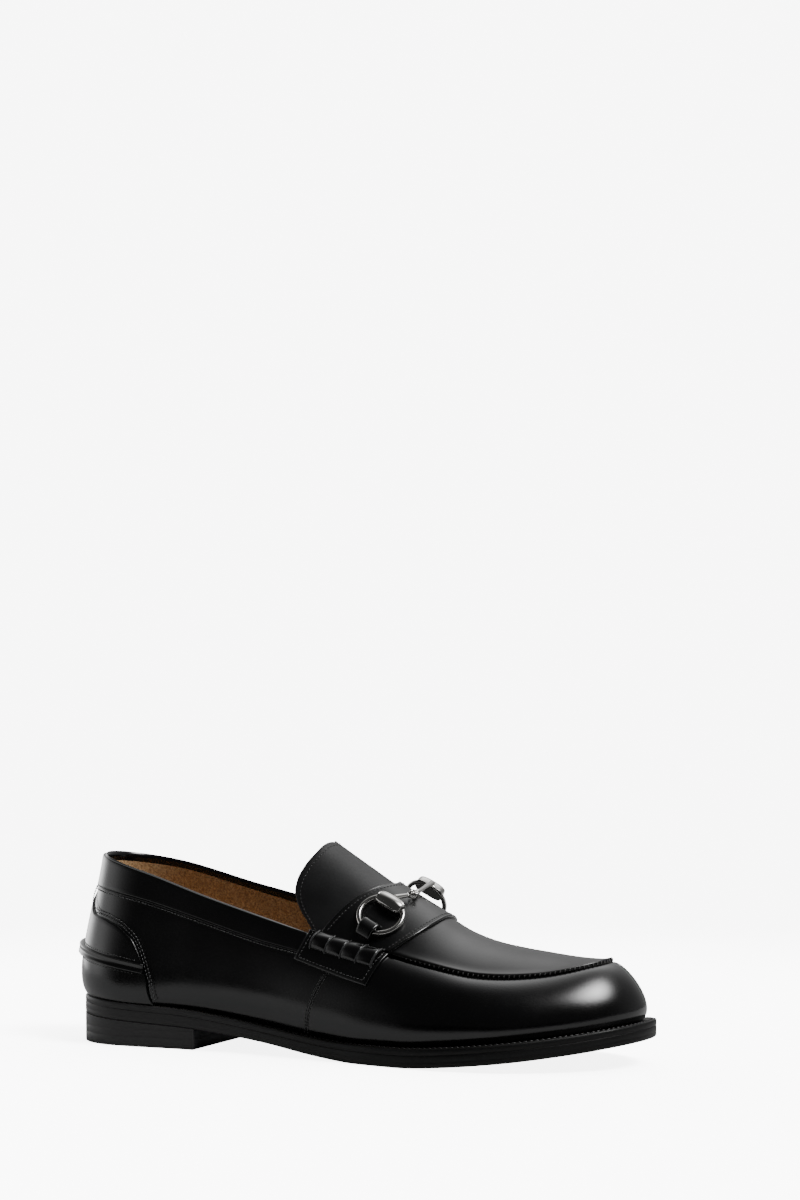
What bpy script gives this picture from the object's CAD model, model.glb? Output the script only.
"""Looks of the right bit loafer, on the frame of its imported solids.

Metres, +X to the toe, +Y to the wearer's left and +Z up, as in the solids. The leather pieces share
their surface, skin(a, v): a runs from the toe (-1) along the lateral side to the heel (0) and back
along the medial side to the toe (1), and v climbs from the welt (0) to the rim (1) and over the
vamp to the ridge (2). The sizes and tables are those of the solids, apart from small changes to the
bit, tabs, tongue, collar and crossband. Here they are cut finer, with rolled edges, stitches, grain
and the lining.
"""

import math
from collections import namedtuple

import bpy
import numpy as np
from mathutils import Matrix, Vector


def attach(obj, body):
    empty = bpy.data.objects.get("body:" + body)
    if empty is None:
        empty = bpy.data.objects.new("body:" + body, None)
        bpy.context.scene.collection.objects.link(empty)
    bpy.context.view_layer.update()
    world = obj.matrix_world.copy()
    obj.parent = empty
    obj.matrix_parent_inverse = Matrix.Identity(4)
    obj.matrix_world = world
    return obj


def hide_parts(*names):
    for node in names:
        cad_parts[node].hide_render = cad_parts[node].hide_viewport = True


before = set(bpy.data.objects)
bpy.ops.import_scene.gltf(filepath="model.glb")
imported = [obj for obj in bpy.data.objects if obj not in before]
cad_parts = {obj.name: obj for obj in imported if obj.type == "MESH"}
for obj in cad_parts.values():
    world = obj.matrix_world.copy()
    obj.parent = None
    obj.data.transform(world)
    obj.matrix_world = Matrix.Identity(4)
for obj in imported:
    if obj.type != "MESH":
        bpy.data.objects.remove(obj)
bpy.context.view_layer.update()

# Sizes of the shoe, nearly all as in the solids
LENGTH = 0.300
BALL_WIDTH = 0.106
HEEL_CENTRE = 0.037
SEAT_HEIGHT = 0.0150
TOE_SPRING = 0.0133
TOE_SHIFT = 0.005
BACK_HEIGHT = 0.072
INSTEP_HEIGHT = 0.074
GAP = 0.0003
OUTSOLE_THICK = 0.0060
WELT_THICK = 0.0030
TOP_PIECE_THICK = 0.0052
LIFT_THICK = 0.0034
INSOLE_PROUD = 0.0012
WALL = 0.0022
CROSSBAND_THICK = 0.0012
KNOB_THICK = 0.0022
COUNTER_THICK = 0.0013
STRAP_THICK = 0.0022
TAB_THICK = 0.0014
ROLL_THICK = 0.0038
TONGUE_THICK = 0.0030
TONGUE_TUCK = 1.12
RING_RADIUS = 0.01065
WIRE_RADIUS = 0.00115
CHEEK_LENGTH = 0.0150
CHEEK_WIDTH = 0.0072
CHEEK_DOME = 0.0034
BAR_RADIUS = 0.0013
EYE_RADIUS = 0.0018
EYE_WIRE = 0.00055
KEEPER_THICK = 0.0011
KEEPER_WIDTH = 0.0092
THROAT = 0.610
BREAST_SHARE = 0.25
LINK_SHARE = 0.637
LINK_ACROSS = -0.22
COLLAR_LOW = 0.815
COUNTER_REACH = 0.272
COUNTER_FOOT = 0.03
CROSSBAND_REACH = 0.266
CROSSBAND_RISE = 0.455
CROSSBAND_FALL = 0.28
CROSSBAND_HALF = 0.035
KNOB_SPREAD = 0.10

# Sizes that only the looks have
ROLL_BINDS = 4
ROLL_LOW = 0.45           # beefroll's lower edge, as a share of the tab's height
ROLL_ENDS = (0.12, 0.94)  # beefroll's ends, as shares of the tab's length
COLLAR_HIGH = 0.992
COLLAR_RISE = 0.0007
THREAD = 0.00027          # radius of the upper's thread
SHARP = 50                # degrees from which an edge is drawn sharp
SOLE_SHARP = 40
SOCK_THICK = 0.0006
STRAP_FOLDS = ((0.02, 0.0005), (0.975, 0.0009))  # place across the strap, radius of its folded edge
STRAP_ROWS = (0.07, 0.925)                       # places across the strap
COUNTER_ROWS = (0.0014, 0.0029)                  # distances in from the counter's edge
CROSSBAND_ROWS = (-1.35, -0.45, 0.45, 1.35)      # in shares of half the crossband
SEAM_ROW = 0.0009         # distance of the stitches from the side seam, on both sides
TONGUE_ROW = 0.0045       # share of the length by which the tongue's stitches are set in

Level = namedtuple("Level", "rear tip heel_end toe_end table")
Round = namedtuple("Round", "share power")
Tab = namedtuple("Tab", "rear_low rear_high front_low front_high v_rear v_front v_high")
Ring = namedtuple("Ring", "side share across turn tilt lean")
Sweep = namedtuple("Sweep", "middle back power")
Stitch = namedtuple("Stitch", "pitch length radius slant")
TAB = Tab(0.454, 0.477, 0.598, 0.638, 0.738, 0.637, 1.02)
LATERAL_RING = Ring(-1, 0.604, 0.70, 24, 0, 0.98)
MEDIAL_RING = Ring(1, 0.610, 0.64, 24, 14, 0.92)
STRAP_REAR = Sweep(0.597, 0.100, 1.6)
STRAP_FRONT = Sweep(0.697, 0.060, 2.8)
UPPER_STITCH = Stitch(0.0020, 0.0016, THREAD, 0.0)
LIP_STITCH = Stitch(0.0024, 0.0015, THREAD * 1.2, math.pi / 2.4)
WELT_STITCH = Stitch(0.0027, 0.0023, 0.00030, 0.0)
PROBE = 0.002             # step along a and v where a slope of the skin is read

# Edge profiles: height through the layer, as a share of it, and millimetres in from its outline
OUTSOLE_EDGE = (
    (0.0, 1.3), (0.02, 0.75), (0.06, 0.35), (0.12, 0.10), (0.20, 0.0), (0.46, 0.0), (0.49, 0.05),
    (0.52, 0.0), (0.80, 0.0), (0.96, 0.05), (1.0, 0.16),
)
WELT_EDGE = ((0.0, 0.25), (0.10, 0.02), (0.55, 0.0), (0.80, 0.08), (0.94, 0.35), (1.0, 0.8), (1.0, 1.6))
TOP_PIECE_EDGE = ((0.0, 0.45), (0.04, 0.12), (0.10, 0.0), (0.93, 0.0), (1.0, 0.10))
LIFT_EDGE = ((0.0, 0.05), (0.06, 0.0), (0.94, 0.0), (1.0, 0.05))
SOCK_EDGE = ((0.0, 5.8), (0.55, 5.8), (0.78, 2.6), (0.92, 1.6), (1.0, 2.1))
# The apron's standing lip: millimetres in from the rim and up from the skin
LIP = np.array([
    (0.42, -0.2), (0.37, 0.30), (0.42, 0.72), (0.58, 1.08), (0.84, 1.32),
    (1.16, 1.40), (1.50, 1.34), (2.00, 1.18), (3.00, 1.00), (4.40, 0.90),
]) / 1000
# The wall's topline, curled over: height v, and how far it has sunk as a share of the wall
CURL = np.array([(0.975, 0), (0.984, 0.06), (0.991, 0.2), (0.9965, 0.36), (1.0, 0.5)])


class Table:
    """Sections along the shoe, one row each, read as a smooth curve by a column's name."""

    def __init__(self, columns, *rows):
        self.columns = columns.split()
        self.rows = np.array(rows, float)

    def at(self, column, share):
        places = self.rows[:, 0]
        values = self.rows[:, self.columns.index(column)]
        slopes = np.gradient(values, places)
        share = np.asarray(share, float)
        i = np.clip(np.searchsorted(places, share, side="right") - 1, 0, len(places) - 2)
        step = places[i + 1] - places[i]
        f = (share - places[i]) / step
        start = (2 * f**3 - 3 * f**2 + 1) * values[i] + (f**3 - 2 * f**2 + f) * step * slopes[i]
        end = (3 * f**2 - 2 * f**3) * values[i + 1] + (f**3 - f**2) * step * slopes[i + 1]
        return start + end


# Half widths are shares of BALL_WIDTH, rises of BACK_HEIGHT, by share of the length
SOLE_PLAN = Table(
    "share lateral medial",
    (0.00, 0.310, 0.310),
    (0.12, 0.322, 0.318),
    (0.25, 0.318, 0.296),
    (0.38, 0.338, 0.262),
    (0.50, 0.405, 0.285),
    (0.60, 0.478, 0.365),
    (0.69, 0.515, 0.435),
    (0.80, 0.500, 0.450),
    (0.90, 0.455, 0.425),
    (1.00, 0.420, 0.400),
)
# Seat is a share of SEAT_HEIGHT, toe of TOE_SPRING, edge of OUTSOLE_THICK
SOLE_SIDE = Table(
    "share seat toe edge",
    (0.00, 1.000, 0.00, 1.00),
    (0.12, 0.840, 0.00, 1.00),
    (0.25, 0.690, 0.00, 0.98),
    (0.38, 0.400, 0.00, 0.86),
    (0.48, 0.115, 0.00, 0.94),
    (0.55, 0.000, 0.00, 1.00),
    (0.60, 0.000, 0.00, 1.00),
    (0.64, 0.000, 0.00, 1.00),
    (0.72, 0.000, 0.12, 1.00),
    (0.80, 0.000, 0.31, 0.98),
    (0.90, 0.000, 0.62, 0.94),
    (1.00, 0.000, 1.00, 0.90),
)
LEVEL_COLUMNS = "share lateral medial rise_lateral rise_medial"
FOOT = Level(0.009, 0.979, Round(0.115, 2.3), Round(0.22, 2.1), Table(
    LEVEL_COLUMNS,
    (0.00, 0.290, 0.290, 0, 0),
    (0.12, 0.298, 0.294, 0, 0),
    (0.25, 0.288, 0.265, 0, 0),
    (0.38, 0.305, 0.225, 0, 0),
    (0.50, 0.365, 0.240, 0, 0),
    (0.60, 0.430, 0.310, 0, 0),
    (0.69, 0.462, 0.380, 0, 0),
    (0.80, 0.448, 0.398, 0, 0),
    (0.90, 0.405, 0.375, 0, 0),
    (1.00, 0.370, 0.350, 0, 0),
))
BULGE = Level(-0.004, 0.982, Round(0.12, 2.2), Round(0.23, 2.1), Table(
    LEVEL_COLUMNS,
    (0.00, 0.305, 0.305, 0.220, 0.220),
    (0.12, 0.315, 0.310, 0.210, 0.210),
    (0.25, 0.325, 0.302, 0.200, 0.220),
    (0.38, 0.355, 0.300, 0.200, 0.240),
    (0.50, 0.410, 0.330, 0.190, 0.220),
    (0.60, 0.462, 0.375, 0.170, 0.190),
    (0.69, 0.488, 0.412, 0.155, 0.160),
    (0.80, 0.470, 0.420, 0.150, 0.150),
    (0.90, 0.425, 0.395, 0.145, 0.145),
    (1.00, 0.390, 0.370, 0.140, 0.140),
))
SHOULDER = Level(0.012, 0.959, Round(0.125, 2.2), Round(0.25, 2.1), Table(
    LEVEL_COLUMNS,
    (0.00, 0.280, 0.280, 0.600, 0.600),
    (0.12, 0.285, 0.280, 0.570, 0.590),
    (0.25, 0.305, 0.295, 0.500, 0.530),
    (0.38, 0.340, 0.315, 0.450, 0.480),
    (0.50, 0.385, 0.345, 0.435, 0.470),
    (0.60, 0.428, 0.370, 0.405, 0.420),
    (0.69, 0.445, 0.388, 0.360, 0.370),
    (0.80, 0.420, 0.380, 0.318, 0.322),
    (0.90, 0.375, 0.350, 0.305, 0.305),
    (1.00, 0.340, 0.330, 0.315, 0.315),
))
RIM = Level(0.031, 0.932, Round(0.13, 2.2), Round(0.28, 2.15), Table(
    LEVEL_COLUMNS,
    (0.00, 0.235, 0.235, 1.020, 1.020),
    (0.12, 0.240, 0.240, 0.930, 0.970),
    (0.25, 0.268, 0.262, 0.810, 0.870),
    (0.38, 0.290, 0.282, 0.735, 0.810),
    (0.50, 0.305, 0.295, 0.670, 0.710),
    (0.60, 0.322, 0.305, 0.610, 0.630),
    (0.69, 0.340, 0.315, 0.530, 0.530),
    (0.80, 0.335, 0.315, 0.420, 0.420),
    (0.90, 0.305, 0.300, 0.385, 0.385),
    (1.00, 0.285, 0.285, 0.410, 0.410),
))
LEVELS = (FOOT, BULGE, SHOULDER, RIM)

# The instep's ridge above the floor, as a share of INSTEP_HEIGHT
RIDGE = Table(
    "share height",
    (0.38, 1.640),
    (0.46, 1.440),
    (0.54, 1.250),
    (0.62, 1.065),
    (0.68, 0.940),
    (0.73, 0.830),
    (0.78, 0.762),
    (0.83, 0.724),
    (0.89, 0.692),
    (0.94, 0.668),
    (1.00, 0.652),
)


# Curves shared by the pieces
def ease(t):
    """Share of the length at step t, with the steps drawn together at both ends."""
    return (1 - np.cos(np.pi * np.asarray(t, float))) / 2


def step_at(share):
    """The step whose share of the length is given: the inverse of ease."""
    return np.arccos(1 - 2 * np.asarray(share, float)) / np.pi


def station(share):
    return LENGTH * np.asarray(share, float) - HEEL_CENTRE


def share_at(x):
    return (x + HEEL_CENTRE) / LENGTH


def rounded(share, level_heel, level_toe):
    """Factor on a half width that rounds off the heel and the toe."""
    back = np.clip(1 - share / level_heel.share, 0, 1)
    front = np.clip((share - 1 + level_toe.share) / level_toe.share, 0, 1)
    heel = (1 - back**level_heel.power) ** (1 / level_heel.power)
    toe = (1 - front**level_toe.power) ** (1 / level_toe.power)
    return heel * toe


def swing(share):
    return TOE_SHIFT * np.clip((share - 0.55) / 0.45, 0, 1) ** 1.5


def sole_under(share):
    height = SEAT_HEIGHT * SOLE_SIDE.at("seat", share) + TOE_SPRING * SOLE_SIDE.at("toe", share)
    return np.maximum(height, 0)


def sole_over(share):
    return sole_under(share) + OUTSOLE_THICK * SOLE_SIDE.at("edge", share)


def feather(share):
    """Height of the welt's upper face."""
    return sole_over(share) + GAP + WELT_THICK


def level_point(level, a):
    a = np.asarray(a, float)
    share = ease(np.abs(a))
    half = np.where(a < 0, level.table.at("lateral", share), level.table.at("medial", share))
    rise = np.where(a < 0, level.table.at("rise_lateral", share), level.table.at("rise_medial", share))
    half = BALL_WIDTH * half * rounded(share, level.heel_end, level.toe_end)
    along = level.rear + (level.tip - level.rear) * share
    across = np.sign(a) * half + swing(along)
    return np.stack([station(along), across, feather(along) + GAP + BACK_HEIGHT * rise], -1)


def wall_point(a, v):
    """The upper's outside below the rim: a cubic up through its four levels."""
    v = np.asarray(v, float)[..., None]
    foot, bulge, shoulder, rim = (level_point(level, a) for level in LEVELS)
    outer = (foot * (1 - v) + rim * v) * (1 - 3 * v) * (2 - 3 * v) / 2
    return outer + 4.5 * v * (1 - v) * (bulge * (2 - 3 * v) - shoulder * (1 - 3 * v))


def arch(left, right, ridge, w):
    """Points across from left (w = -1) to right (1), arched up to the ridge's height."""
    w = np.asarray(w, float)[..., None]
    middle = (left + right) / 2
    rise = np.maximum(ridge - middle[..., 2], 0)[..., None] * (1 - w**2)
    return left * (1 - w) / 2 + right * (1 + w) / 2 + rise * np.array([0, 0, 1])


def ridge_height(share):
    return INSTEP_HEIGHT * RIDGE.at("height", share)


def vamp_point(t, w):
    t = np.asarray(t, float)
    return arch(level_point(RIM, -t), level_point(RIM, t), ridge_height(ease(t)), w)


def skin(a, v):
    a, v = np.broadcast_arrays(np.asarray(a, float), np.asarray(v, float))
    over = vamp_point(np.abs(a), np.sign(a) * (2 - v))
    return np.where((v > 1)[..., None], over, wall_point(a, v))


def unit(vectors):
    return vectors / np.linalg.norm(vectors, axis=-1, keepdims=True)


def side_normal(a, v):
    """Unit normal, outwards; at the very toe it is read just behind it."""
    a = np.clip(a, 3 * PROBE - 1, 1 - 3 * PROBE)
    up = skin(a, v + PROBE) - skin(a, v - PROBE)
    return unit(np.cross(up, skin(a + PROBE, v) - skin(a - PROBE, v)))


def skin_normal(a, v):
    """Unit normal, with the two sides' normals blended where they meet at the toe."""
    a, v = np.broadcast_arrays(np.asarray(a, float), np.asarray(v, float))
    other = np.clip((np.abs(a) - 0.98) / 0.02, 0, 1)[..., None] / 2
    return unit(side_normal(a, v) * (1 - other) + side_normal(-a, v) * other)


# The heel counter's top edge, as v, by way round from the back seam (0) to its front (1)
COUNTER_EDGE = Table(
    "way top",
    (0.00, 0.805),
    (0.06, 0.800),
    (0.12, 0.765),
    (0.25, 0.715),
    (0.42, 0.665),
    (0.65, 0.645),
    (0.81, 0.600),
    (0.90, 0.530),
    (0.97, 0.390),
    (1.00, 0.280),
)
# The tongue's free edge, by way out from its ridge (0) to its tucked side (1)
TONGUE_EDGE = Table(
    "way rear",
    (0.00, 0.474),
    (0.20, 0.464),
    (0.38, 0.454),
    (0.54, 0.440),
    (0.66, 0.431),
    (0.74, 0.432),
    (0.80, 0.444),
    (0.86, 0.466),
    (1.00, 0.500),
)
# The side seam under the tab: how far round it lies at each height
SIDE_SEAM = Table(
    "v a",
    (0.02, 0.480),
    (0.13, 0.484),
    (0.34, 0.491),
    (0.52, 0.501),
    (0.67, 0.512),
    (0.78, 0.524),
)
# Soft troughs (and ridges, where the depth is negative): place, reach and depth in millimetres
CREASES = Table(
    "a v reach_a reach_v depth",
    (0.560, 0.38, 0.030, 0.30, 0.28),
    (0.615, 0.55, 0.020, 0.22, 0.16),
    (0.440, 0.55, 0.045, 0.30, 0.30),
    (0.330, 0.45, 0.030, 0.35, -0.18),
    (0.660, 0.50, 0.026, 0.30, -0.12),
)


def crease_depth(a, v):
    """How far the leather dips at a place, alike on both sides."""
    depth = np.zeros(np.broadcast(a, v).shape)
    for around, up, reach_a, reach_v, millimetres in CREASES.rows:
        depth += millimetres * np.exp(-((np.abs(a) - around) / reach_a) ** 2 - ((v - up) / reach_v) ** 2)
    return depth / 1000


def raised(a, v, height):
    """Skin moved out along its normal, or in where the height is negative, with its creases."""
    lift = np.asarray(height, float) - crease_depth(a, v)
    return skin(a, v) + skin_normal(a, v) * lift[..., None]


def inset(a, v, distance):
    """A route of places moved sideways on the skin: to its right for a positive distance."""
    points = skin(a, v)
    across = unit(np.cross(np.gradient(points, axis=0), skin_normal(a, v))) * distance
    per_a = (skin(a + PROBE, v) - skin(a - PROBE, v)) / (2 * PROBE)
    per_v = (skin(a, v + PROBE) - skin(a, v - PROBE)) / (2 * PROBE)
    aa, av, vv = ((one * two).sum(-1) for one, two in ((per_a, per_a), (per_a, per_v), (per_v, per_v)))
    ra, rv = (across * per_a).sum(-1), (across * per_v).sum(-1)
    det = aa * vv - av * av
    return a + (ra * vv - rv * av) / det, v + (rv * aa - ra * av) / det


# Meshes
def spread(low, high, count):
    return np.linspace(low, high, count)


def grid_faces(rows, columns, wrap_rows=False, wrap_columns=False):
    """Faces of a grid whose point (i, j) has the number i * columns + j."""
    i = np.arange(rows if wrap_rows else rows - 1)[:, None]
    j = np.arange(columns if wrap_columns else columns - 1)[None, :]
    below, beside = (i + 1) % rows, (j + 1) % columns
    corners = (i * columns + j, i * columns + beside, below * columns + beside, below * columns + j)
    return np.stack(np.broadcast_arrays(*corners), -1).reshape(-1, 4)


def add_piece(name, points, faces, finishes, stands_for=(), looks=None, sharp=SHARP):
    """One visible piece: facing outwards, riding on the shoe, with its finish for each face."""
    points = np.asarray(points, float).reshape(-1, 3)
    faces = np.asarray(faces)
    corners = points[faces]
    volume = np.einsum("ij,ij->i", corners[:, 0], np.cross(corners[:, 1], corners[:, 2]))
    volume += np.einsum("ij,ij->i", corners[:, 0], np.cross(corners[:, 2], corners[:, 3]))
    if volume.sum() < 0:
        faces = faces[:, ::-1]
    mesh = bpy.data.meshes.new(name)
    mesh.from_pydata(points.tolist(), [], faces.tolist())
    if looks is not None:
        mesh.polygons.foreach_set("material_index", np.asarray(looks, np.int32))
    mesh.validate()
    mesh.shade_smooth()
    mesh.set_sharp_from_angle(angle=math.radians(sharp))
    piece = bpy.data.objects.new(name, mesh)
    bpy.context.scene.collection.objects.link(piece)
    for finish in finishes:
        mesh.materials.append(finish)
    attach(piece, "root")
    if stands_for:
        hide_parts(*stands_for)


def ring_solid(rings, wrap=False):
    """Faces of a solid through closed rings; unless they wrap, the first and last ring are filled
    across, point i to point n - 1 - i."""
    rows, count = len(rings), len(rings[0])
    faces = [grid_faces(rows, count, wrap, True)]
    if not wrap:
        for start in (0, (rows - 1) * count):
            k = np.arange(count // 2 - 1)
            cap = np.stack([k, k + 1, count - 2 - k, count - 1 - k], -1) + start
            faces.append(cap[:, ::-1] if start == 0 else cap)
    return np.concatenate(faces)


def plate(name, inner, outer, finishes, stands_for=(), looks=None):
    """A piece between two grids of points."""
    rings = np.concatenate([inner, outer[:, ::-1]], axis=1)
    add_piece(name, rings, ring_solid(rings), finishes, stands_for, looks)


def rolled(count, edge_low, edge_high):
    """Places from 0 to 1, closer together at the ends, and how far up each stands: its ends are
    rolled over the given shares of the way."""
    near = np.array([0, 0.08, 0.25, 0.55])
    flat = spread(edge_low, 1 - edge_high, count)
    places = np.concatenate([near * edge_low, flat, 1 - near[::-1] * edge_high])
    low = np.clip(places / max(edge_low, 1e-9), 0, 1)
    high = np.clip((1 - places) / max(edge_high, 1e-9), 0, 1)
    return places, np.sqrt(1 - (1 - low) ** 2) * np.sqrt(1 - (1 - high) ** 2)


def panel(slot, place, base, thick, counts, edges, finish):
    """A leather overlay with rolled edges: place gives a and v for two shares along and across."""
    along, rise_along = rolled(counts[0], *edges[0])
    across, rise_across = rolled(counts[1], *edges[1])
    a, v = place(along[:, None], across[None, :])
    rise = rise_along[:, None] * rise_across[None, :]
    outer = raised(a, v, base + thick * (0.12 + 0.88 * rise))
    plate(f"{slot}_fine", raised(a, v, base - GAP * 0.8), outer, [finish], (slot,))


def lined(rows, columns, short):
    """Looks of a plate's faces: lining inside, up to some columns short of its far edge."""
    looks = np.tile(np.arange(2 * columns) < columns - short, rows - 1)
    return np.concatenate([looks, np.zeros(2 * (columns - 1), bool)]).astype(int)


def even_route(points, normals, pitch, closed=False):
    """A route cut into even steps of about the pitch."""
    if closed:
        points = np.concatenate([points, points[:1]])
        normals = np.concatenate([normals, normals[:1]])
    far = np.concatenate([[0], np.cumsum(np.linalg.norm(np.diff(points, axis=0), axis=1))])
    count = max(int(round(far[-1] / pitch)), 1)
    spots = (np.arange(count) + 0.5) * far[-1] / count
    at = np.stack([np.interp(spots, far, points[:, k]) for k in range(3)], -1)
    up = unit(np.stack([np.interp(spots, far, normals[:, k]) for k in range(3)], -1))
    ahead = np.stack([np.interp(spots + pitch * 0.3, far, points[:, k]) for k in range(3)], -1)
    behind = np.stack([np.interp(spots - pitch * 0.3, far, points[:, k]) for k in range(3)], -1)
    return at, up, unit(ahead - behind)


def stitch_points(route, stitch, closed):
    """Rice-grain threads along one route, sunk at both ends."""
    at, up, along = even_route(*route, stitch.pitch, closed)
    across = unit(np.cross(up, along))
    cosine, sine = math.cos(stitch.slant), math.sin(stitch.slant)
    along, across = along * cosine + across * sine, across * cosine - along * sine
    way = np.array([-1, -0.7, 0, 0.7, 1])
    girth = np.array([0.25, 0.85, 1, 0.85, 0.25])[:, None]
    turn = spread(0, 2 * math.pi, 7)[:-1]
    up, across = (axis[:, None, None, :] * stitch.radius for axis in (up, across))
    x = (way * stitch.length / 2)[None, :, None, None] * along[:, None, None, :]
    lift = (0.35 - 1.1 * way**2)[None, :, None, None] * up
    y = (girth * np.cos(turn))[None, :, :, None] * across
    z = (girth * np.sin(turn))[None, :, :, None] * up
    return at[:, None, None, :] + x + lift + y + z


def add_stitches(name, routes, stitch, finish, closed=False):
    """All the stitches of one kind, as one joined mesh."""
    grains = np.concatenate([stitch_points(route, stitch, closed) for route in routes])
    count, rings, sides = grains.shape[:3]
    one = ring_solid(np.zeros((rings, sides, 3)))
    faces = (one[None] + (np.arange(count) * rings * sides)[:, None, None]).reshape(-1, 4)
    add_piece(name, grains, faces, [finish])


def tube_rings(points, normals, radius, sides=8):
    """Rings of a tube along a route; radius is one number or one for each point."""
    along = unit(np.gradient(points, axis=0))
    across = unit(np.cross(normals, along))
    up = unit(np.cross(along, across))
    turn = spread(0, 2 * math.pi, sides + 1)[:-1]
    radius = np.broadcast_to(np.asarray(radius, float), len(points))[:, None, None]
    wheel = np.cos(turn)[None, :, None] * across[:, None, :] + np.sin(turn)[None, :, None] * up[:, None, :]
    return points[:, None, :] + radius * wheel


def add_joined(name, solids, finish, stands_for=(), wraps=None):
    """Several solids through rings, joined into one piece; wraps says which close on themselves."""
    points, faces, count = [], [], 0
    for rings, wrap in zip(solids, wraps or [False] * len(solids)):
        faces.append(ring_solid(rings, wrap) + count)
        points.append(rings.reshape(-1, 3))
        count += rings.shape[0] * rings.shape[1]
    add_piece(name, np.concatenate(points), np.concatenate(faces), [finish], stands_for)


def skin_route(a, v, height):
    return raised(a, v, height), skin_normal(a, v)


# Finishes
def add_node(tree, kind, inputs, operation=None):
    """A shader node whose inputs, by name or number, are sockets to link or values to set."""
    node = tree.nodes.new(kind)
    if operation:
        node.operation = operation
    for key, value in inputs.items():
        if isinstance(value, bpy.types.NodeSocket):
            tree.links.new(value, node.inputs[key])
        else:
            node.inputs[key].default_value = value
    return node


def calculate(tree, operation, *values):
    """A math node whose inputs are sockets or numbers."""
    return add_node(tree, "ShaderNodeMath", dict(enumerate(values)), operation).outputs["Value"]


def ranged(tree, value, span, low=0.0, high=1.0, smooth=False):
    """A value whose given span is spread from low to high."""
    ends = {"From Min": span[0], "From Max": span[1], "To Min": low, "To Max": high}
    node = add_node(tree, "ShaderNodeMapRange", {"Value": value, **ends})
    if smooth:
        node.interpolation_type = "SMOOTHSTEP"
    return node.outputs["Result"]


def object_place(tree):
    return add_node(tree, "ShaderNodeTexCoord", {}).outputs["Object"]


def stretched(tree, scale):
    """The object's own coordinates, stretched along its axes."""
    inputs = {"Scale": scale, "Vector": object_place(tree)}
    return add_node(tree, "ShaderNodeMapping", inputs).outputs["Vector"]


def noise(tree, scale, detail=3.0, stretch=(1, 1, 1)):
    inputs = {"Scale": scale, "Detail": detail, "Vector": stretched(tree, stretch)}
    return add_node(tree, "ShaderNodeTexNoise", inputs).outputs["Fac"]


def cells(tree, scale):
    inputs = {"Scale": scale, "Vector": stretched(tree, (1, 1, 1))}
    return add_node(tree, "ShaderNodeTexVoronoi", inputs).outputs["Distance"]


def ramp(tree, value, stops):
    """Colours by value: stops are (place, colour)."""
    node = add_node(tree, "ShaderNodeValToRGB", {"Fac": value})
    marks = node.color_ramp.elements
    while len(marks) < len(stops):
        marks.new(0.5)
    for mark, (place, colour) in zip(marks, stops):
        mark.position = place
        mark.color = (*colour, 1)
    return node.outputs["Color"]


def new_finish(name, colour, values):
    """A material, its node tree and its shader, with values set by the names of its inputs."""
    made = bpy.data.materials.new(name)
    made.use_nodes = True
    shader = made.node_tree.nodes["Principled BSDF"]
    for key, value in {"Base Color": (*colour, 1), **values}.items():
        shader.inputs[key].default_value = value
    return made, made.node_tree, shader


def add_roughness(tree, shader, value, low, high):
    tree.links.new(ranged(tree, value, NOISE_SPAN, low, high), shader.inputs["Roughness"])


def add_bump(tree, shader, heights):
    """Chained bumps, each a height output with its strength and its depth in metres."""
    before = {}
    for value, strength, depth in heights:
        inputs = {"Strength": strength, "Distance": depth, "Height": value, **before}
        before = {"Normal": add_node(tree, "ShaderNodeBump", inputs).outputs["Normal"]}
    tree.links.new(before["Normal"], shader.inputs["Normal"])


def leather(name, colour, rough_low, rough_high, grain, coat):
    """Polished leather: fine grain, faint wiping streaks and a patchy gloss."""
    made, tree, shader = new_finish(name, colour, {"Coat Weight": coat, "Coat Roughness": COAT_ROUGHNESS})
    add_roughness(tree, shader, noise(tree, 70), rough_low, rough_high)
    add_bump(tree, shader, (
        (cells(tree, 1500), grain, GRAIN_DEPTH),
        (noise(tree, 700, 4), grain * 1.3, GRAIN_DEPTH),
    ))
    return made


def sole_edge(name, heel_tone, fore_tone, roughness):
    """Burnished layers of sole leather: greyer at the heel, with long fine scratches along the edge."""
    made, tree, shader = new_finish(name, (fore_tone,) * 3, {"Specular IOR Level": 0.3})
    split = add_node(tree, "ShaderNodeSeparateXYZ", {"Vector": object_place(tree)})
    forward = ranged(tree, split.outputs["X"], (-HEEL_CENTRE, LENGTH - HEEL_CENTRE))
    tones = ((0.0, (heel_tone,) * 3), (0.34, (heel_tone,) * 3), (0.52, (fore_tone,) * 3))
    tree.links.new(ramp(tree, forward, tones), shader.inputs["Base Color"])
    add_roughness(tree, shader, noise(tree, 40), roughness * 0.85, roughness * 1.2)
    add_bump(tree, shader, (
        (noise(tree, 60, 4, (0.3, 0.3, 20)), 0.09, SCRATCH_DEPTH),
        (noise(tree, 900), 0.15, SCRATCH_DEPTH),
    ))
    return made


def suede(name, dark, middle, light):
    """Tan lining with a mottled nap."""
    nap = {"Roughness": 0.95, "Sheen Weight": 0.25, "Sheen Roughness": 0.5, "Specular IOR Level": 0.2}
    made, tree, shader = new_finish(name, middle, nap)
    mottle = ramp(tree, noise(tree, 1100, 6), ((0.32, dark), (0.5, middle), (0.68, light)))
    tree.links.new(mottle, shader.inputs["Base Color"])
    add_bump(tree, shader, ((noise(tree, 1400, 5), 0.6, 0.0003), (noise(tree, 300), 0.35, 0.0005)))
    return made


def plated(name, colour):
    """Polished plated metal with a faint polishing haze."""
    made, tree, shader = new_finish(name, colour, {"Metallic": 1.0})
    add_roughness(tree, shader, noise(tree, 500), 0.08, 0.16)
    add_bump(tree, shader, ((noise(tree, 160, 2), 0.08, SCRATCH_DEPTH),))
    return made


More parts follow.
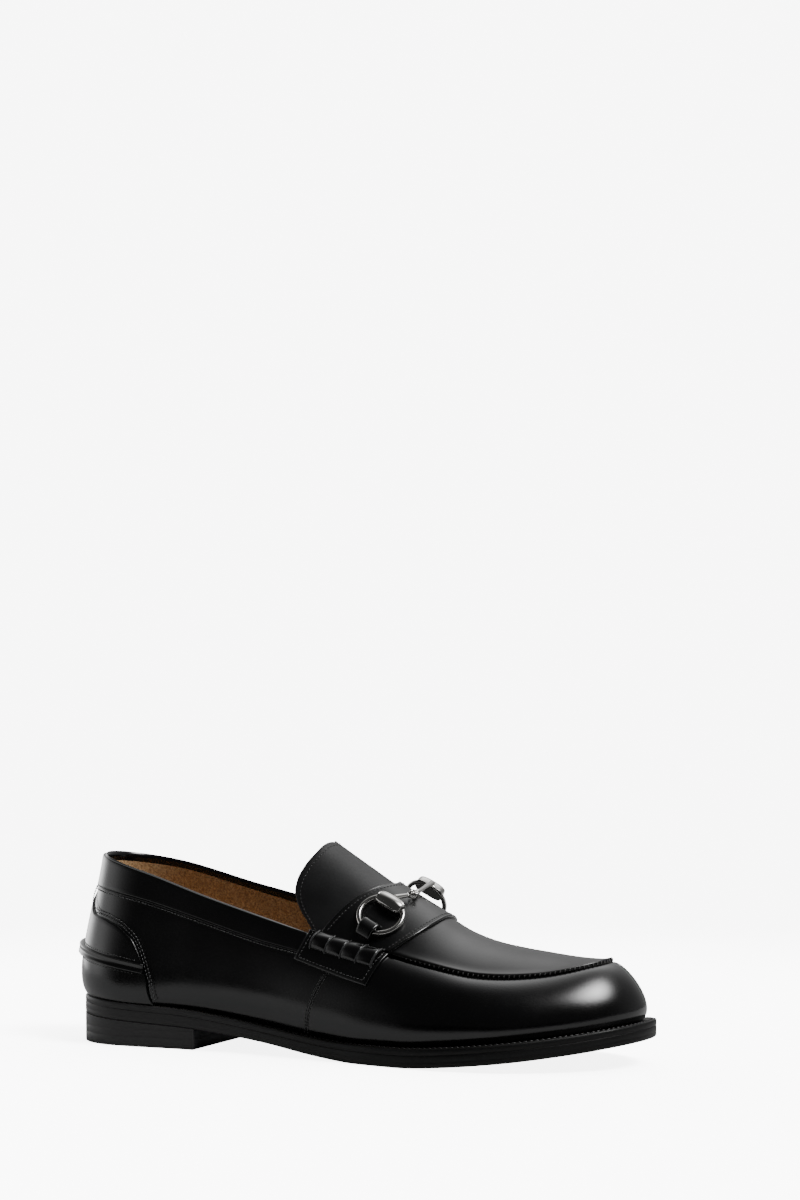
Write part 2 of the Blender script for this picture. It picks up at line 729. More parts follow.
NOISE_SPAN = (0.3, 0.7)  # where nearly all of a noise's values lie
COAT_ROUGHNESS = 0.16
GRAIN_DEPTH = 0.00005
SCRATCH_DEPTH = 0.0001
CALF = leather("polished_calf", (0.0022, 0.0022, 0.0024), 0.16, 0.23, 0.26, 0.25)
CALF_SATIN = leather("satin_calf", (0.0018, 0.0018, 0.0020), 0.28, 0.36, 0.12, 0.12)
CALF_SOFT = leather("soft_calf", (0.0045, 0.0045, 0.0050), 0.44, 0.54, 0.12, 0.0)
CALF_GLOSS = leather("glossy_calf", (0.002, 0.002, 0.0022), 0.16, 0.24, 0.10, 0.4)
THREAD_BLACK = leather("black_thread", (0.012, 0.012, 0.0125), 0.4, 0.55, 0.5, 0.0)
THREAD_GREY = leather("worn_thread", (0.036, 0.036, 0.037), 0.35, 0.5, 0.5, 0.0)
THREAD_PALE = leather("waxed_thread", (0.085, 0.085, 0.085), 0.3, 0.4, 0.5, 0.0)
LINING = suede("suede_lining", (0.36, 0.215, 0.100), (0.50, 0.325, 0.165), (0.63, 0.44, 0.25))
SOCK = leather("sock_leather", (0.42, 0.24, 0.115), 0.5, 0.65, 0.2, 0.0)
SOLE = sole_edge("sole_edge", 0.032, 0.002, 0.46)
HEEL = sole_edge("heel_stack", 0.042, 0.042, 0.5)
METAL = plated("plated_metal", (0.62, 0.61, 0.59))


# Upper
def make_walls():
    """The side walls all round, curled over at the topline, with the lining inside."""
    a = spread(-1, 1, 361)[:-1][:, None]
    curl, drop = CURL[:, 0], CURL[:, 1] * WALL
    outside = spread(0, 0.96, 44)
    lining = np.concatenate([spread(0.962, 0.945, 2), spread(0.93, 0, 34)])
    v_out = np.concatenate([outside, curl])
    v_in = np.concatenate([curl[-2::-1], lining])
    fall = np.concatenate([np.zeros_like(outside), drop, -drop[-2::-1], np.zeros_like(lining)])
    level = np.concatenate([np.zeros(len(v_out)), np.full(len(v_in), WALL)])
    topline = np.clip((0.70 - np.abs(a)) / 0.06, 0, 1)
    points = raised(a, np.concatenate([v_out, v_in])[None, :], -(level + fall * topline))
    inside = np.arange(len(level)) >= len(v_out) + 5
    looks = np.tile(inside & np.roll(inside, -1), len(a))
    faces = ring_solid(points, True)
    add_piece("upper_walls", points, faces, [CALF, LINING], ("upper",), looks.astype(int))


def make_vamp():
    """The vamp's lower layer, under the strap and the apron."""
    rows, columns = 50, 41
    t = spread(step_at(THROAT), 0.992, rows)[:, None]
    w = spread(-1, 1, columns)[None, :]
    a, v = np.where(w < 0, -1, 1) * t, 2 - np.abs(w)
    looks = lined(rows, columns, 1)
    plate("upper_vamp", raised(a, v, -WALL), raised(a, v, 0), [CALF, LINING], (), looks)


def collar_end(v):
    """How far round the collar band reaches at each height: it ends at the tab's rear edge."""
    climb = (v - TAB.v_rear) / (TAB.v_high - TAB.v_rear)
    return step_at(TAB.rear_low + (TAB.rear_high - TAB.rear_low) * climb)


def make_collar():
    def place(along, across):
        v = COLLAR_LOW + (COLLAR_HIGH - COLLAR_LOW) * across
        return (2 * along - 1) * collar_end(v), v

    edges = ((0.001, 0.001), (0.05, 0.07))
    panel("collar_band", place, 0, COLLAR_RISE, (180, 10), edges, CALF)


def counter_route():
    """Places along the counter's edge: up its lateral front, round over the top and down again."""
    way = np.sin(spread(0, math.pi / 2, 120))
    top = COUNTER_EDGE.at("top", way)
    front = spread(COUNTER_FOOT + 0.02, top[-1], 30)[:-1]
    side_a = np.concatenate([way * COUNTER_REACH, np.full(29, COUNTER_REACH)])
    side_v = np.concatenate([top, front[::-1]])
    return np.concatenate([-side_a[:0:-1], side_a]), np.concatenate([side_v[:0:-1], side_v])


def make_counter():
    def place(along, across):
        way = np.sin((2 * along - 1) * math.pi / 2)
        top = COUNTER_EDGE.at("top", np.abs(way))
        return way * COUNTER_REACH, COUNTER_FOOT + (top - COUNTER_FOOT) * across

    edges = ((0.035, 0.035), (0.001, 0.018))
    panel("heel_counter", place, 0, COUNTER_THICK, (150, 26), edges, CALF)


def make_crossband():
    """The ridged strip over the counter, bunched into a roll at the back seam."""
    base = COUNTER_THICK
    along, rise_along = rolled(120, 0.004, 0.004)
    across, rise_across = rolled(8, 0.14, 0.14)
    a = (2 * along - 1)[:, None] * CROSSBAND_REACH
    v = CROSSBAND_RISE - CROSSBAND_FALL * np.abs(a) + (2 * across - 1)[None, :] * CROSSBAND_HALF
    roll = 0.9 * KNOB_THICK * np.exp(-(a / KNOB_SPREAD) ** 2) * np.sin(np.pi * across)[None, :] ** 0.6
    rise = rise_along[:, None] * rise_across[None, :]
    ridges = 1 + 0.35 * np.cos(2 * np.pi * across)
    outer = raised(a, v, base + (CROSSBAND_THICK * 1.15 * ridges[None, :] + roll) * (0.1 + 0.9 * rise))
    inner = raised(a, v, base - GAP)
    plate("crossband_fine", inner, outer, [CALF_GLOSS], ("counter_crossband",))


def swept(edge, w):
    """Share of the length where one of the strap's edges lies, across the vamp."""
    return edge.middle - edge.back * np.abs(w) ** edge.power


def strap_reach():
    return 2 - TAB.v_high + 0.004


def strap_place(w, way):
    rear = swept(STRAP_REAR, w)
    share = rear + (swept(STRAP_FRONT, w) - rear) * way
    return np.where(w < 0, -1, 1) * step_at(share), 2 - np.abs(w)


def make_strap():
    def place(along, across):
        return strap_place((2 * along - 1) * strap_reach(), across)

    edges = ((0.002, 0.002), (0.03, 0.035))
    panel("saddle_strap", place, GAP, STRAP_THICK - GAP, (90, 26), edges, CALF_SATIN)


def apron_side(side, width, rows):
    """The apron's seam from the strap's corner to the toe, moved in across the vamp."""
    start = step_at(swept(STRAP_FRONT, 1) + 0.004)
    t = start + (1 - start) * spread(0, 1, rows)
    rim = level_point(RIM, side * t)[:, :2]
    behind = np.gradient(rim, axis=0)
    behind[-1] = (0, -side)
    behind /= np.linalg.norm(behind, axis=1, keepdims=True)
    return rim + side * width * np.stack([behind[:, 1], -behind[:, 0]], -1)


def vamp_place(plan):
    """The places on the skin above plan points."""
    share = np.clip((share_at(plan[..., 0]) - RIM.rear) / (RIM.tip - RIM.rear), 0, 1)
    t = step_at(share)
    left = level_point(RIM, -t)[..., 1]
    right = level_point(RIM, t)[..., 1]
    w = np.clip((2 * plan[..., 1] - left - right) / np.maximum(right - left, 1e-6), -1, 1)
    return np.where(w < 0, -t, t), 2 - np.abs(w)


def make_apron():
    """The plug on the vamp, with its standing stitched lip."""
    rows, middle = 120, 44
    lateral = [apron_side(-1, width, rows) for width in LIP[:, 0]]
    medial = [apron_side(1, width, rows) for width in LIP[:, 0]]
    share = spread(0, 1, middle)[1:-1, None, None]
    inside = lateral[-1] * (1 - share) + medial[-1] * share
    plan = np.concatenate([lateral, inside, medial[::-1]]).transpose(1, 0, 2)
    centre = (plan[:, :1, 1] + plan[:, -1:, 1]) / 2
    w = (plan[..., 1] - centre) / np.maximum(np.abs(plan[:, :1, 1] - centre), 1e-6)
    fade = (1 - spread(0, 1, rows)[:, None]) ** 3
    reach = LENGTH * (RIM.tip - RIM.rear)
    plan[..., 0] += (swept(STRAP_FRONT, w) - 0.012 - swept(STRAP_FRONT, 1)) * reach * fade
    height = np.concatenate([LIP[:, 1], np.full(middle - 2, LIP[-1, 1]), LIP[::-1, 1]])
    swell = 1.15 + 0.65 * np.clip(spread(0, 1, rows) * 2 - 1, 0, 1)[:, None] ** 1.5
    a, v = vamp_place(plan)
    outer = raised(a, v, height * swell)
    inner = raised(a, v, -GAP)
    plate("apron_fine", inner[:-1], outer[:-1], [CALF_SATIN], ("apron",))


def tongue_rear(w):
    return TONGUE_EDGE.at("rear", np.abs(w))


def tongue_grids(rear_gap=0.0):
    """The tongue's outer and inner points, rolled round along its free edge."""
    w = spread(-TONGUE_TUCK, TONGUE_TUCK, 91)[:, None]
    rear = tongue_rear(w / TONGUE_TUCK) + rear_gap
    way = np.concatenate([np.array([0, 0.002, 0.006, 0.012]), spread(0.02, 1, 40)])[None, :]
    share = rear + (THROAT - 0.006 - rear) * way
    t = step_at(share)
    w = np.broadcast_to(w, t.shape)
    clear = np.array([0, WALL * 1.25 + 2 * GAP, 0])
    thick = np.array([0, TONGUE_THICK, 0])
    lateral = level_point(RIM, -t) + clear
    medial = level_point(RIM, t) - clear
    ridge = ridge_height(share)
    outer = arch(lateral, medial, ridge, w)
    inner = arch(lateral + thick, medial - thick, ridge - TONGUE_THICK, w)
    middle = (outer + inner) / 2
    roll = np.sqrt(1 - (1 - np.clip(way / 0.02, 0, 1)) ** 2)[..., None] * 0.9 + 0.1
    return middle + (outer - middle) * roll, middle + (inner - middle) * roll


def make_tongue():
    outer, inner = tongue_grids()
    looks = lined(*outer.shape[:2], 3)
    plate("tongue_fine", inner, outer, [CALF_SOFT, LINING], ("tongue",), looks)


def tongue_stitch_route():
    """A line of stitches inside the tongue's free edge."""
    outer, _ = tongue_grids(TONGUE_ROW)
    edge = outer[4:-4, 5]
    normal = unit(np.cross(outer[4:-4, 8] - outer[4:-4, 4], outer[5:-3, 5] - outer[3:-5, 5]))
    return edge, normal * np.sign(normal[len(normal) // 2, 2])


# Side tabs
def tab_place(side, along, up):
    rear = TAB.rear_low + (TAB.rear_high - TAB.rear_low) * up
    front = TAB.front_low + (TAB.front_high - TAB.front_low) * up
    share = rear + (front - rear) * along
    low = TAB.v_rear + (TAB.v_front - TAB.v_rear) * along
    return side * step_at(share), low + (TAB.v_high - low) * up


def roll_height(along, up):
    """The beefroll above its tab: a roll across, pinched in at each binding."""
    first, last = ROLL_ENDS
    way = np.clip((along - first) / (last - first), 0, 1)
    across = np.clip((up - ROLL_LOW) / (1.03 - ROLL_LOW), 0, 1)
    girth = np.sin(np.pi * across) ** 0.55
    bulge = np.abs(np.sin(np.pi * ROLL_BINDS * way)) ** 0.4
    return ROLL_THICK * girth * (0.78 + 0.22 * bulge)


def make_tab(word, side):
    def place(along, across):
        return tab_place(side, along, across)

    slot = f"tab_{word}"
    panel(slot, place, 0, TAB_THICK, (60, 22), ((0.014, 0.014), (0.035, 0.02)), CALF_GLOSS)
    first, last = ROLL_ENDS
    along = first + (last - first) * (1 - np.cos(spread(0, math.pi, 97))) / 2
    up = ROLL_LOW + (1.03 - ROLL_LOW) * spread(0, 1, 21)
    along, up = np.meshgrid(along, up, indexing="ij")
    ends = np.sqrt(1 - (1 - np.clip(np.minimum(along - first, last - along) / 0.03, 0, 1)) ** 2)
    a, v = tab_place(side, along, up)
    outer = raised(a, v, TAB_THICK * 0.6 + roll_height(along, up) * (0.15 + 0.85 * ends))
    plate(f"beefroll_{word}", raised(a, v, TAB_THICK * 0.4), outer, [CALF_GLOSS])
    threads = []
    for k in range(ROLL_BINDS + 1):
        place_along = first + (last - first) * np.clip(k / ROLL_BINDS, 0.012, 0.988)
        up = spread(ROLL_LOW - 0.015, 1.02, 24)
        a, v = tab_place(side, place_along, up)
        height = TAB_THICK * 0.7 + roll_height(place_along, up)
        threads.append(tube_rings(raised(a, v, height), skin_normal(a, v), THREAD * 1.7))
    add_joined(f"beefroll_threads_{word}", threads, THREAD_GREY)


def tab_routes(side):
    """Stitch lines inside the tab's rear, lower and front edges."""
    edge_in, edge_up = 0.055, 0.10
    up = spread(edge_up, 0.97, 30)
    along = spread(edge_in, 1 - edge_in, 50)
    rear = tab_place(side, edge_in, up[::-1])
    foot = tab_place(side, along, edge_up)
    front = tab_place(side, 1 - edge_in, up)
    return [skin_route(*line, TAB_THICK) for line in (rear, foot, front)]


# Seams
def both(a, v):
    """One route on the lateral side and its mirror on the medial side."""
    return [(-a, v), (a, v)]


def side_seam():
    v = spread(0.02, 0.74, 60)
    return SIDE_SEAM.at("a", v), v


def make_folds(around, v):
    """Folded edges that stand a little proud: the topline's, the side seams' and the strap's."""
    folds = [tube_rings(*skin_route(around, v, 0.0002), 0.00042)]
    for a, up in both(*side_seam()):
        wobble = 0.0003 + 0.00005 * np.sin(up * 190)
        folds.append(tube_rings(*skin_route(a, up, 0.0001), wobble))
    w = spread(-1, 1, 200) * (strap_reach() - 0.01)
    for way, radius in STRAP_FOLDS:
        folds.append(tube_rings(*skin_route(*strap_place(w, way), STRAP_THICK - 0.0005), radius))
    add_joined("folded_edges", folds, CALF_GLOSS)


def crossband_routes():
    """Four rows on the crossband, left open where the roll bunches it."""
    band = spread(-1, 1, 200) * CROSSBAND_REACH
    middle = CROSSBAND_RISE - CROSSBAND_FALL * np.abs(band)
    routes = []
    for offset in CROSSBAND_ROWS:
        height = COUNTER_THICK + CROSSBAND_THICK * (0.6 if abs(offset) < 1 else 0.0)
        for part in (slice(6, 92), slice(108, -6)):
            routes.append(skin_route(band[part], (middle + offset * CROSSBAND_HALF)[part], height))
    return routes


def make_seams():
    v = np.full(300, COLLAR_LOW - 0.006)
    around = spread(-1, 1, 300) * collar_end(v)
    make_folds(around, v)
    routes = [
        skin_route(*inset(around, v, 0.0012), 0.0002),
        skin_route(*inset(around, v, -0.0013), COLLAR_RISE),
    ]
    for a, up in both(*side_seam()):
        routes += [skin_route(*inset(a, up, away), 0.0001) for away in (SEAM_ROW, -SEAM_ROW)]
    edge = counter_route()
    routes += [skin_route(*inset(*edge, away), COUNTER_THICK) for away in COUNTER_ROWS]
    routes += crossband_routes()
    w = spread(-1, 1, 200) * (strap_reach() - 0.02)
    routes += [skin_route(*strap_place(w, way), STRAP_THICK) for way in STRAP_ROWS]
    for side in (-1, 1):
        routes += tab_routes(side)
    routes.append(tongue_stitch_route())
    add_stitches("upper_stitching", routes, UPPER_STITCH, THREAD_GREY)


def make_lip_stitches():
    """The hand-sewn look of the apron's lip: short threads through its outer face."""
    routes = []
    for side in (-1, 1):
        plan = apron_side(side, 0.00022, 160)[6:-2]
        a, v = vamp_place(plan)
        outward = unit(skin(a, v) - skin(a, np.minimum(v + 0.05, 2)))
        routes.append((raised(a, v, spread(0.0008, 0.0012, len(a))), outward))
    add_stitches("lip_stitching", routes, LIP_STITCH, THREAD_PALE)


# Sole, heel and sock
def plan_ring(half_width, first=0.0, last=1.0, steps=150):
    """A plan outline without doubled points: lateral side from heel to toe, then back again."""
    t = spread(step_at(first), step_at(last), steps + 1)
    share = ease(t)
    lateral, medial = half_width(share)
    out = np.stack([station(share), swing(share) - lateral], -1)
    back = np.stack([station(share), swing(share) + medial], -1)[::-1]
    return np.concatenate([out, back[1:-1] if first == 0 and last == 1 else back])


def foot_ring(steps):
    """The plan outline of the upper's foot."""
    t = spread(0, 1, steps + 1)
    return np.concatenate([level_point(FOOT, -t)[:, :2], level_point(FOOT, t[::-1])[1:-1, :2]])


def sole_halves(share):
    ends = rounded(share, FOOT.heel_end, FOOT.toe_end)
    return [BALL_WIDTH * SOLE_PLAN.at(column, share) * ends for column in ("lateral", "medial")]


def drawn_in(ring, distance):
    """A closed plan outline moved inwards."""
    along = np.roll(ring, -1, axis=0) - np.roll(ring, 1, axis=0)
    along = unit(np.where(np.linalg.norm(along, axis=1, keepdims=True) < 1e-9, [[0.0, 1.0]], along))
    return ring + distance * np.stack([-along[:, 1], along[:, 0]], -1)


def layered(name, ring, under, over, profile, finish, slot):
    """A layer of the sole: its edge profile lists heights through it and millimetres in."""
    rings = []
    for through, back in profile:
        plan = drawn_in(ring, back / 1000)
        share = share_at(plan[:, 0])
        rings.append(np.column_stack([plan, under(share) + (over(share) - under(share)) * through]))
    rings = np.roll(np.array(rings), -int(np.argmin(ring[:, 0])), axis=1)
    count = rings.shape[1]
    faces = [grid_faces(len(rings), count, False, True)]
    k = np.arange(count // 2)
    for start in (0, (len(rings) - 1) * count):
        cap = np.stack([k, (k + 1) % count, (count - k - 1) % count, (count - k) % count], -1) + start
        faces.append(cap[:, ::-1] if start == 0 else cap)
    add_piece(name, rings, np.concatenate(faces), [finish], (slot,), None, SOLE_SHARP)


def make_outsole():
    ring = plan_ring(sole_halves)
    layered("outsole_fine", ring, sole_under, sole_over, OUTSOLE_EDGE, SOLE, "outsole")


def make_welt():
    """The welt with its bevelled edge, and the lock stitches round its top."""
    outer = plan_ring(sole_halves)
    inner = drawn_in(foot_ring(150), WALL + 0.0032)
    rings = []
    for through, back in WELT_EDGE:
        plan = drawn_in(outer, back / 1000)
        height = sole_over(share_at(plan[:, 0])) + GAP * 0.2 + (WELT_THICK + GAP * 0.8) * through
        rings.append(np.column_stack([plan, height]))
    for through in (1.0, 0.0):
        height = sole_over(share_at(inner[:, 0])) + GAP * 0.2 + WELT_THICK * through
        rings.append(np.column_stack([inner, height]))
    rings = np.array(rings)
    add_piece("welt_fine", rings, ring_solid(rings, True), [SOLE], ("welt",), None, SOLE_SHARP)
    line = drawn_in(outer, 0.0021)
    points = np.column_stack([line, feather(share_at(line[:, 0])) + 0.0001])
    normals = np.tile([0.0, 0.0, 1.0], (len(points), 1))
    add_stitches("welt_stitching", [(points, normals)], WELT_STITCH, THREAD_BLACK, closed=True)


def make_heel():
    def flat(height):
        return lambda share: np.full_like(share, height)

    def seat_under(share):
        return sole_under(share) + 0.00005

    ring = plan_ring(sole_halves, last=BREAST_SHARE, steps=70)
    seat = flat(TOP_PIECE_THICK)
    middle = flat(TOP_PIECE_THICK + LIFT_THICK + GAP)
    for name, under, over, edge in (
        ("heel_top_piece", flat(0.0), seat, TOP_PIECE_EDGE),
        ("heel_lift_lower", seat, middle, LIFT_EDGE),
        ("heel_lift_upper", middle, seat_under, LIFT_EDGE),
    ):
        layered(f"{name}_fine", ring, under, over, edge, HEEL, name)


def make_sock():
    """The insole with its sock, from wall to wall."""
    def under(share):
        return sole_over(share) + GAP

    def over(share):
        return feather(share) + INSOLE_PROUD + SOCK_THICK

    layered("sock", foot_ring(100), under, over, SOCK_EDGE, SOCK, "insole")


# Bit
def turned(first, second, degrees):
    angle = math.radians(degrees)
    cosine, sine = math.cos(angle), math.sin(angle)
    return first * cosine + second * sine, second * cosine - first * sine


def bit_frame(ring):
    """Place and directions of one ring: towards the ridge, towards the toe, and out."""
    a = ring.side * step_at(ring.share)
    v = 2 - ring.across
    inward = unit(skin(a, v + PROBE) - skin(a, v - PROBE))
    out = skin_normal(a, v)
    toe = np.cross(inward, out) * -ring.side
    inward, toe = turned(inward, toe, ring.turn)
    inward, out = turned(inward, out, ring.tilt)
    lift = GAP + STRAP_THICK + 2 * GAP + WIRE_RADIUS + RING_RADIUS * math.sin(math.radians(ring.tilt))
    return skin(a, v) + skin_normal(a, v) * lift, inward, toe, out


def circle(centre, across, along, radius, count):
    turn = spread(0, 2 * math.pi, count + 1)[:-1, None]
    return centre + radius * (np.cos(turn) * across + np.sin(turn) * along)


def wire_ring(centre, across, along, radius, wire, count=96, sides=20, groove=0.0):
    """Rings of a torus, with a groove of a share of its wire round both its crests."""
    normal = unit(np.cross(across, along))
    spokes = circle(np.zeros(3), across, along, 1.0, count)
    turn = spread(0, 2 * math.pi, sides + 1)[:-1]
    shape = np.full(sides, wire)
    for crest in (0.5 * math.pi, 1.5 * math.pi):
        shape -= wire * groove * np.exp(-((turn - crest) / 0.42) ** 2)
    wheel = np.cos(turn)[None, :, None] * spokes[:, None, :] + np.sin(turn)[None, :, None] * normal
    return centre + radius * spokes[:, None, :] + shape[None, :, None] * wheel


def cheek_grids(lean, centre, inward, toe, out):
    """The cheek's outer and under points: a domed barrel with a raised rim, which leans in over
    the ring by a share of its width."""
    along = np.sin(spread(-1, 1, 61) * math.pi / 2)[:, None]
    across = (1 - np.cos(spread(0, math.pi, 31)))[None, :] / 2
    width = CHEEK_WIDTH * 1.06 * (0.30 + 0.70 * (1 - np.abs(along) ** 5) ** 0.5)
    low = RING_RADIUS - CHEEK_WIDTH * lean
    way = low + CHEEK_WIDTH * 0.53 + width * (across - 0.5)
    inside = np.minimum(1, np.minimum(across, 1 - across) * 2)
    end = np.sqrt(np.clip(1 - np.abs(along) ** 6, 0, 1))
    dome = CHEEK_DOME * np.sqrt(1 - (2 * across * 0.96 - 0.96) ** 2) * (1 - 0.35 * along**2)
    edge = np.minimum(inside * 3, (1 - np.abs(along)) * 9)
    rim = 0.00038 * np.exp(-((edge - 0.55) / 0.3) ** 2)
    top = WIRE_RADIUS + (dome + rim) * np.clip(end * 1.6, 0, 1)
    spot = centre + toe * (along * CHEEK_LENGTH / 2)[..., None] + inward * way[..., None]
    under = spot - out * WIRE_RADIUS * 0.7
    return spot + out * top[..., None], np.broadcast_to(under, spot.shape)


def bar_parts(ring):
    """The bar's rings, with its collar bead, and the eye's rings."""
    centre, inward, _, out = bit_frame(ring)
    lift = GAP + STRAP_THICK + 2 * GAP + EYE_RADIUS + EYE_WIRE
    a = -step_at(LINK_SHARE)
    link = skin(a, 2 + LINK_ACROSS) + skin_normal(a, 2 + LINK_ACROSS) * lift
    start = centre + inward * (RING_RADIUS + CHEEK_WIDTH * 0.1) + out * WIRE_RADIUS
    heading = unit(start - link)
    eye = link + heading * (EYE_RADIUS - EYE_WIRE - GAP)
    upright = unit(np.array([0, 0, 1]) - heading * heading[2])
    level = np.cross(heading, upright)
    plane = upright if ring.side < 0 else level
    end = eye + heading * EYE_RADIUS * 0.95
    way = spread(0, 1, 60)
    radii = BAR_RADIUS * (1.2 - 0.55 * way) + BAR_RADIUS * 0.45 * np.exp(-((way - 0.90) / 0.045) ** 2)
    radii[-1] *= 0.5
    route = start + (end - start) * way[:, None]
    bar = tube_rings(route, np.tile(upright, (60, 1)), radii, 20)
    return bar, wire_ring(eye, heading, plane, EYE_RADIUS, EYE_WIRE * 1.1, 48, 14)


def make_half(word, ring):
    name = f"bit_half_{word}"
    place = bit_frame(ring)
    wire = wire_ring(*place[:3], RING_RADIUS, WIRE_RADIUS * 1.06, groove=0.13)
    bar, eye = bar_parts(ring)
    upper, under = cheek_grids(ring.lean, *place)
    cheek = np.concatenate([under, upper[:, ::-1]], axis=1)
    wraps = (True, False, True, False)
    add_joined(f"{name}_fine", (wire, bar, eye, cheek), METAL, (name,), wraps)


def make_keeper(word, ring):
    """The glossy loop that comes up from the roll and holds the ring's wire down."""
    centre, inward, toe, out = bit_frame(ring)
    drop = WIRE_RADIUS + GAP
    line = np.array([
        (RING_RADIUS - 0.0058, -drop * 0.9),
        (RING_RADIUS - 0.0044, drop * 0.7),
        (RING_RADIUS - 0.0026, drop * 1.25),
        (RING_RADIUS + 0.0004, drop * 1.35),
        (RING_RADIUS + 0.0022, drop * 0.6),
        (RING_RADIUS + 0.0042, -drop * 1.1),
    ])
    climb = math.sin(math.radians(ring.tilt))
    knots = spread(0, 1, len(line))
    way, rise_way = rolled(40, 0.05, 0.05)
    route = Table("way away up", *np.column_stack([knots, line]))
    away, up = route.at("away", way), route.at("up", way)
    up = up + climb * np.maximum(away - RING_RADIUS, 0)
    across, rise_across = rolled(16, 0.10, 0.10)
    half = KEEPER_WIDTH / 2 * (0.94 + 0.06 * np.cos(np.pi * way))
    spot = centre - inward * away[:, None] + out * up[:, None]
    grid = spot[:, None, :] + toe * (half[:, None] * (2 * across - 1)[None, :])[..., None]
    rise = rise_way[:, None] * rise_across[None, :]
    outer = grid + out * (KEEPER_THICK * (0.3 + 0.9 * rise))[..., None]
    slot = f"ring_keeper_{word}"
    plate(f"{slot}_fine", grid, outer, [CALF_GLOSS], (slot,))


# Stage
Softbox = namedtuple("Softbox", "azimuth rise tightness strength")
Line = namedtuple("Line", "heading offset")
SOFTBOXES = (
    Softbox(86, 60, 16, 3.0),
    Softbox(93, 30, 10, 0.40),
    Softbox(-9, 55, 75, 46),
    Softbox(152, 5, 14, 5.2),
    Softbox(-160, 2, 18, 1.6),
)
ROOM_SPAN = (-0.35, 0.55)  # the room brightens from the front to the back between these shares
ROOM_LIGHT = (0.05, 0.30)
BACKDROP = 10.0            # pale background as the camera sees it
PAPER = (3.2, 3.2, 3.2, 1)
PAPER_GLOW = 5.6
PAPER_IN_GLOSS = (0.48, 0.48, 0.48, 1)
FLOOR_FADE = (0.38, 0.95)  # the floor thins out between these distances as the camera sees it
GLOSS_FADE = (-0.015, 0.045)  # and in the leather's gloss across this strip, outside both lines
GLOSS_LINES = (Line((0.47, -0.883, 0), -0.0734), Line((0, -1, 0), -0.100))
FLOOR_DROP = 0.00005
AZIMUTH = math.radians(23.827)
DISTANCE = 1.05
RISE = math.asin(0.09 / DISTANCE)
TARGET = Vector((0.10, 0, 0.05))


def faded(tree, shader, far, span):
    """A floor shader that thins out to nothing as a distance grows."""
    clear = add_node(tree, "ShaderNodeBsdfTransparent", {})
    inputs = {0: ranged(tree, far, span, smooth=True), 1: shader.outputs[0], 2: clear.outputs[0]}
    return add_node(tree, "ShaderNodeMixShader", inputs).outputs[0]


def camera_or(tree, others, seen, output):
    """Ends a tree with one shader for what the camera sees and another for all other rays."""
    direct = add_node(tree, "ShaderNodeLightPath", {}).outputs["Is Camera Ray"]
    mix = add_node(tree, "ShaderNodeMixShader", {0: direct, 1: others, 2: seen})
    add_node(tree, output, {"Surface": mix.outputs[0]})


def floor_finish():
    """Pale paper that fades out into the backdrop; the leather's gloss shows less of it."""
    made = bpy.data.materials.new("floor")
    made.use_nodes = True
    tree = made.node_tree
    tree.nodes.clear()
    place = object_place(tree)
    far = add_node(tree, "ShaderNodeVectorMath", {0: place}, "LENGTH").outputs["Value"]
    past = []
    for line in GLOSS_LINES:
        along = add_node(tree, "ShaderNodeVectorMath", {0: place, 1: line.heading}, "DOT_PRODUCT")
        past.append(calculate(tree, "ADD", along.outputs["Value"], line.offset))
    plain = add_node(tree, "ShaderNodeBsdfDiffuse", {"Color": PAPER_IN_GLOSS})
    lit = add_node(tree, "ShaderNodeBsdfDiffuse", {"Color": PAPER})
    glowing = add_node(tree, "ShaderNodeEmission", {"Strength": PAPER_GLOW})
    seen = add_node(tree, "ShaderNodeAddShader", {0: lit.outputs[0], 1: glowing.outputs[0]})
    in_gloss = faded(tree, plain, calculate(tree, "MINIMUM", *past), GLOSS_FADE)
    camera_or(tree, in_gloss, faded(tree, seen, far, FLOOR_FADE), "ShaderNodeOutputMaterial")
    return made


def make_floor():
    corners = [(-1, -1, 0), (1, -1, 0), (1, 1, 0), (-1, 1, 0)]
    mesh = bpy.data.meshes.new("floor")
    mesh.from_pydata(corners, [], [(0, 1, 2, 3)])
    mesh.materials.append(floor_finish())
    floor = bpy.data.objects.new("floor", mesh)
    floor.location = (LENGTH / 2 - HEEL_CENTRE, 0, -FLOOR_DROP)
    bpy.context.scene.collection.objects.link(floor)


def direction(azimuth, rise):
    """A unit vector from its compass angle and its height, in degrees."""
    around, up = math.radians(azimuth), math.radians(rise)
    return math.cos(up) * math.cos(around), math.cos(up) * math.sin(around), math.sin(up)


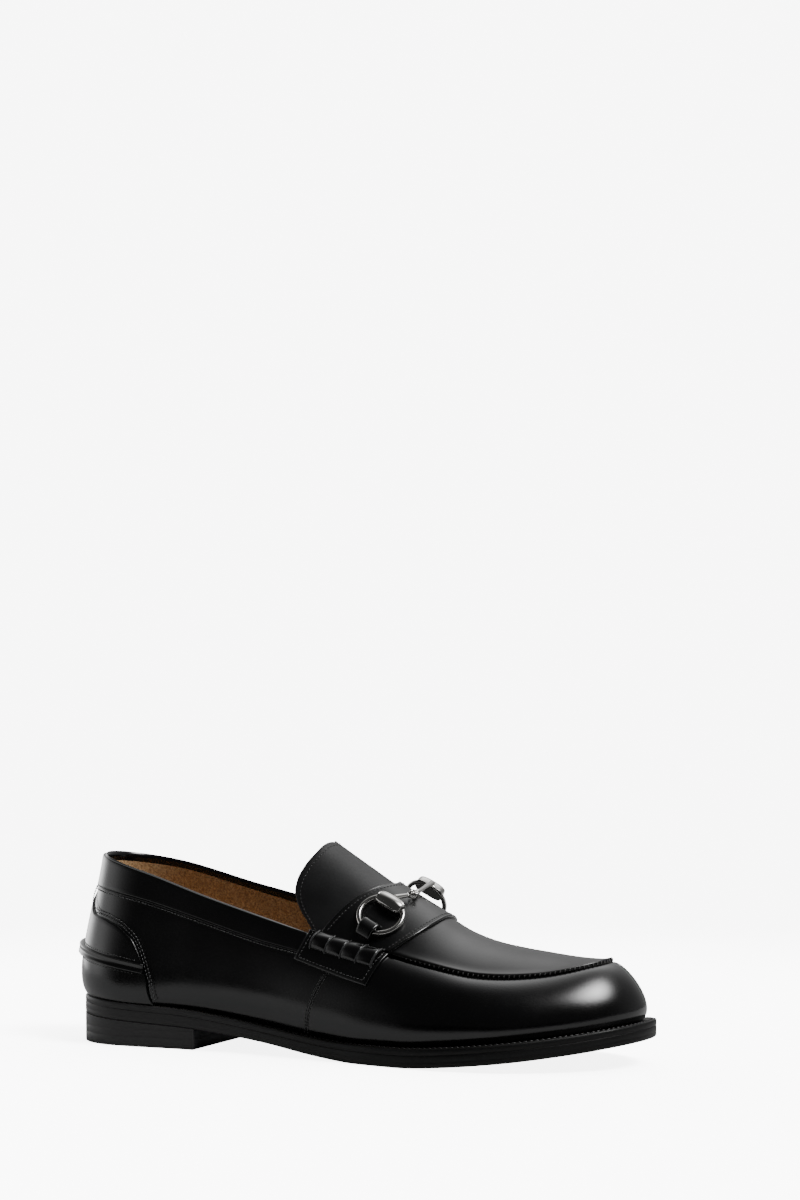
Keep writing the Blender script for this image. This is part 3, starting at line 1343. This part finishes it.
def glow(tree, way, softbox):
    """The light that one soft box sends from each direction."""
    middle = direction(softbox.azimuth, softbox.rise)
    near = add_node(tree, "ShaderNodeVectorMath", {0: way, 1: middle}, "DOT_PRODUCT").outputs["Value"]
    fall = calculate(tree, "MULTIPLY_ADD", near, softbox.tightness, -softbox.tightness)
    return calculate(tree, "MULTIPLY", calculate(tree, "EXPONENT", fall), softbox.strength)


def make_studio():
    """A soft studio: boxes above and behind the shoe, and little light from the front."""
    world = bpy.data.worlds.new("studio")
    bpy.context.scene.world = world
    world.use_nodes = True
    tree = world.node_tree
    tree.nodes.clear()
    way = add_node(tree, "ShaderNodeTexCoord", {}).outputs["Generated"]
    split = add_node(tree, "ShaderNodeSeparateXYZ", {"Vector": way})
    back = ranged(tree, split.outputs["Y"], ROOM_SPAN, *ROOM_LIGHT, smooth=True)
    total = calculate(tree, "MULTIPLY", back, calculate(tree, "GREATER_THAN", split.outputs["Z"], 0.0))
    for softbox in SOFTBOXES:
        total = calculate(tree, "ADD", total, glow(tree, way, softbox))
    room = add_node(tree, "ShaderNodeBackground", {"Strength": total})
    seen = add_node(tree, "ShaderNodeBackground", {"Strength": BACKDROP})
    camera_or(tree, room.outputs[0], seen.outputs[0], "ShaderNodeOutputWorld")


def make_camera():
    """At the photograph's angle; the shift places the shoe in the frame as the photograph does."""
    sideways = math.cos(RISE)
    back = Vector((math.sin(AZIMUTH) * sideways, -math.cos(AZIMUTH) * sideways, math.sin(RISE)))
    lens = bpy.data.cameras.new("camera")
    lens.sensor_fit = "VERTICAL"
    lens.sensor_height = 36
    lens.lens = 63
    lens.shift_x = 0.0549
    lens.shift_y = 0.2912
    lens.clip_end = 200
    camera = bpy.data.objects.new("camera", lens)
    camera.location = TARGET + back * DISTANCE
    camera.rotation_euler = back.to_track_quat("Z", "Y").to_euler()
    bpy.context.scene.collection.objects.link(camera)
    bpy.context.scene.camera = camera


make_camera()
make_floor()
make_studio()
make_walls()
make_vamp()
make_collar()
make_counter()
make_crossband()
make_apron()
make_strap()
make_tongue()
make_seams()
make_lip_stitches()
make_outsole()
make_welt()
make_heel()
make_sock()
for ring, word in ((LATERAL_RING, "lateral"), (MEDIAL_RING, "medial")):
    make_tab(word, ring.side)
    make_half(word, ring)
    make_keeper(word, ring)
